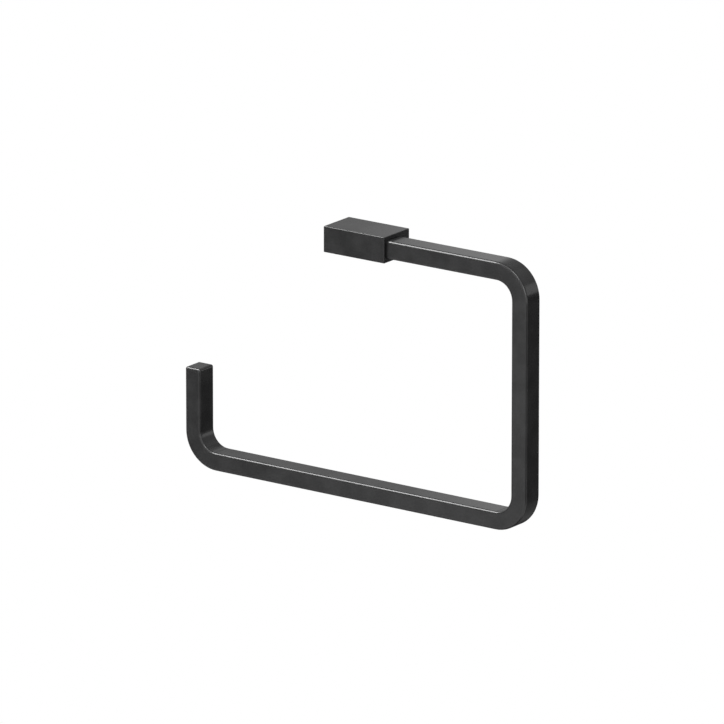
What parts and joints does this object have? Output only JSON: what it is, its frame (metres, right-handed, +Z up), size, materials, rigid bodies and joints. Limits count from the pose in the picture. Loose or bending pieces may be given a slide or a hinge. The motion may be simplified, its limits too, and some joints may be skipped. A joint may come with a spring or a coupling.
{
  "type": "toilet roll holder",
  "caption": "Open loop of bent matt black bar on a small wall post with a hidden fixing. A roll slides over the upturned end and hangs on the bottom run.",
  "frame": {"origin": "on the wall's surface, at the middle of the post and midway between the wall screws", "axes": "+X to the right seen from the front, +Y into the wall, +Z up. The holder is on the room's side, at negative Y."},
  "size_m": [0.1779, 0.018, 0.1187],
  "materials": {
    "black_coating": "matt black powder coat with a fine texture",
    "plain_steel": "plain stainless steel",
    "plated_steel": "zinc-plated steel sheet",
    "dark_steel": "black oxide steel"
  },
  "bodies": {
    "root": {"post_cover": "black_coating", "roll_arm": "black_coating", "arm_screw": "plain_steel", "wall_bracket": "plated_steel", "set_screw": "dark_steel"}
  },
  "joints": []
}
